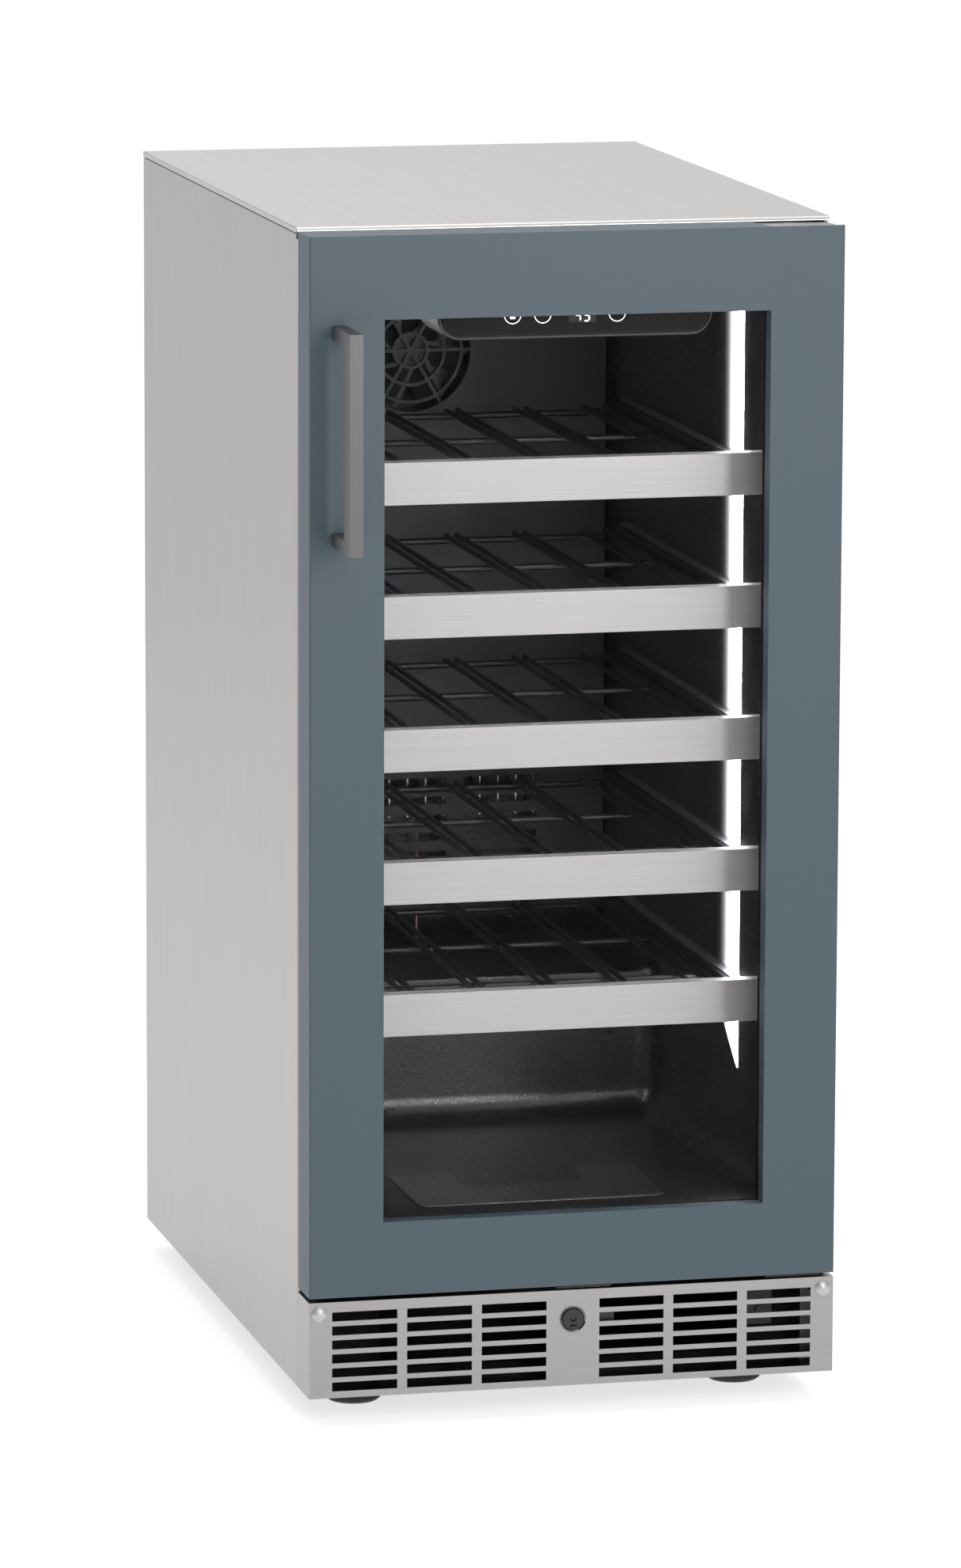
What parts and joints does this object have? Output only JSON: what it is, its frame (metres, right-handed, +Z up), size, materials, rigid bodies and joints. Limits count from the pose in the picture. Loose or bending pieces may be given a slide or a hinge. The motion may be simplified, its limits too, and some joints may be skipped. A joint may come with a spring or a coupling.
{
  "type": "wine cooler",
  "caption": "Undercounter wine cooler: steel cabinet, blue-grey framed glass door hinged on the right, sliding bottle racks with steel fronts, slotted kick grille with a lock.",
  "frame": {"origin": "on the floor, under the middle of the whole object's box", "axes": "+Z up, -Y is the front with the door, +X is the hinge side"},
  "size_m": [0.378, 0.634, 0.836],
  "materials": {
    "stainless": "brushed, satin",
    "galvanised": "galvanised sheet",
    "black_steel": "satin powder coat",
    "rack_wire": "satin coated wire",
    "liner_black": "moulded, semi-gloss",
    "black_plastic": "fine grain",
    "foam": "rigid foam",
    "copper": "drawn copper tube",
    "fin_aluminium": "mill finish",
    "led_lens": "frosted diffuser",
    "panel_glass": "polished black",
    "door_blue": "satin blue-grey paint",
    "window_glass": "clear float glass",
    "gasket_rubber": "soft magnetic seal",
    "rubber": "damping rubber",
    "chrome": "polished",
    "lock_steel": "dark plated",
    "white_plastic": "self-lubricating plastic"
  },
  "bodies": {
    "cabinet": {"side_panel_left": "stainless", "side_panel_right": "stainless", "top_panel": "stainless", "back_panel": "galvanised", "service_cover": "galvanised", "base_pan": "black_steel", "bay_partition": "galvanised", "inner_liner": "liner_black", "insulation_foam": "foam", "evaporator_cover": "black_plastic", "evaporator_coil": "fin_aluminium", "evaporator_fan_motor": "black_plastic", "light_bar_left": "led_lens", "light_bar_right": "led_lens", "control_housing": "black_plastic", "control_glass": "panel_glass", "rack_rails_left": "galvanised", "rack_rails_right": "galvanised", "compressor": "black_steel", "compressor_mounts": "rubber", "condenser_coil": "black_steel", "condenser_fan_motor": "black_plastic", "drip_tray": "black_plastic", "filter_drier": "copper", "refrigerant_lines": "copper", "power_inlet": "black_plastic", "rear_screws": "galvanised", "kick_grille": "stainless", "grille_screws": "stainless", "lock_barrel": "chrome", "hinge_bracket_top": "stainless", "hinge_bracket_bottom": "stainless", "hinge_screws": "galvanised"},
    "door": {"door_panel": "door_blue", "door_frame": "black_plastic", "glass_outer": "window_glass", "glass_inner": "window_glass", "glass_spacer": "black_plastic", "door_gasket": "gasket_rubber", "door_handle": "stainless", "handle_screws": "galvanised", "hinge_bushes": "white_plastic", "lock_keeper": "black_plastic"},
    "rack_1": {"rack_1_fascia": "stainless", "rack_1_shelf": "rack_wire"},
    "rack_2": {"rack_2_fascia": "stainless", "rack_2_shelf": "rack_wire"},
    "rack_3": {"rack_3_fascia": "stainless", "rack_3_shelf": "rack_wire"},
    "rack_4": {"rack_4_fascia": "stainless", "rack_4_shelf": "rack_wire"},
    "rack_5": {"rack_5_fascia": "stainless", "rack_5_shelf": "rack_wire"},
    "lock_cylinder": {"lock_plug": "lock_steel"},
    "evaporator_rotor": {"evaporator_fan": "black_plastic"},
    "condenser_rotor": {"condenser_fan": "black_plastic"},
    "foot_front_left": {"foot_front_left": "black_plastic"},
    "foot_front_right": {"foot_front_right": "black_plastic"},
    "foot_rear_left": {"foot_rear_left": "black_plastic"},
    "foot_rear_right": {"foot_rear_right": "black_plastic"}
  },
  "joints": [
    {"name": "door_hinge", "type": "hinge", "parent": "cabinet", "child": "door", "pos_m": [0.18, -0.24, 0.46], "axis": [0, 0, 1], "range_deg": [0, 110]},
    {"name": "rack_1_slide", "type": "slide", "parent": "cabinet", "child": "rack_1", "axis": [0, -1, 0], "range_m": [0, 0.131]},
    {"name": "rack_2_slide", "type": "slide", "parent": "cabinet", "child": "rack_2", "axis": [0, -1, 0], "range_m": [0, 0.131]},
    {"name": "rack_3_slide", "type": "slide", "parent": "cabinet", "child": "rack_3", "axis": [0, -1, 0], "range_m": [0, 0.131]},
    {"name": "rack_4_slide", "type": "slide", "parent": "cabinet", "child": "rack_4", "axis": [0, -1, 0], "range_m": [0, 0.131]},
    {"name": "rack_5_slide", "type": "slide", "parent": "cabinet", "child": "rack_5", "axis": [0, -1, 0], "range_m": [0, 0.131]},
    {"name": "lock_turn", "type": "hinge", "parent": "cabinet", "child": "lock_cylinder", "pos_m": [0, -0.256, 0.0696], "axis": [0, -1, 0], "range_deg": [0, 90]},
    {"name": "evaporator_fan_spin", "type": "hinge", "parent": "cabinet", "child": "evaporator_rotor", "pos_m": [0, 0.257, 0.69], "axis": [0, 1, 0], "continuous": true},
    {"name": "condenser_fan_spin", "type": "hinge", "parent": "cabinet", "child": "condenser_rotor", "pos_m": [0.113, 0.211, 0.112], "axis": [0, 1, 0], "continuous": true},
    {"name": "foot_front_left_turn", "type": "hinge", "parent": "cabinet", "child": "foot_front_left", "pos_m": [-0.139, -0.178, 0.01], "axis": [0, 0, 1], "continuous": true},
    {"name": "foot_front_right_turn", "type": "hinge", "parent": "cabinet", "child": "foot_front_right", "pos_m": [0.139, -0.178, 0.01], "axis": [0, 0, 1], "continuous": true},
    {"name": "foot_rear_left_turn", "type": "hinge", "parent": "cabinet", "child": "foot_rear_left", "pos_m": [-0.139, 0.272, 0.01], "axis": [0, 0, 1], "continuous": true},
    {"name": "foot_rear_right_turn", "type": "hinge", "parent": "cabinet", "child": "foot_rear_right", "pos_m": [0.139, 0.272, 0.01], "axis": [0, 0, 1], "continuous": true}
  ],
  "couplings": [
    {"joint": "rack_1_slide", "follows": "door_hinge", "m_per_rad": 0.068},
    {"joint": "rack_2_slide", "follows": "door_hinge", "m_per_rad": 0.068},
    {"joint": "rack_3_slide", "follows": "door_hinge", "m_per_rad": 0.068},
    {"joint": "rack_4_slide", "follows": "door_hinge", "m_per_rad": 0.068},
    {"joint": "rack_5_slide", "follows": "door_hinge", "m_per_rad": 0.068}
  ]
}
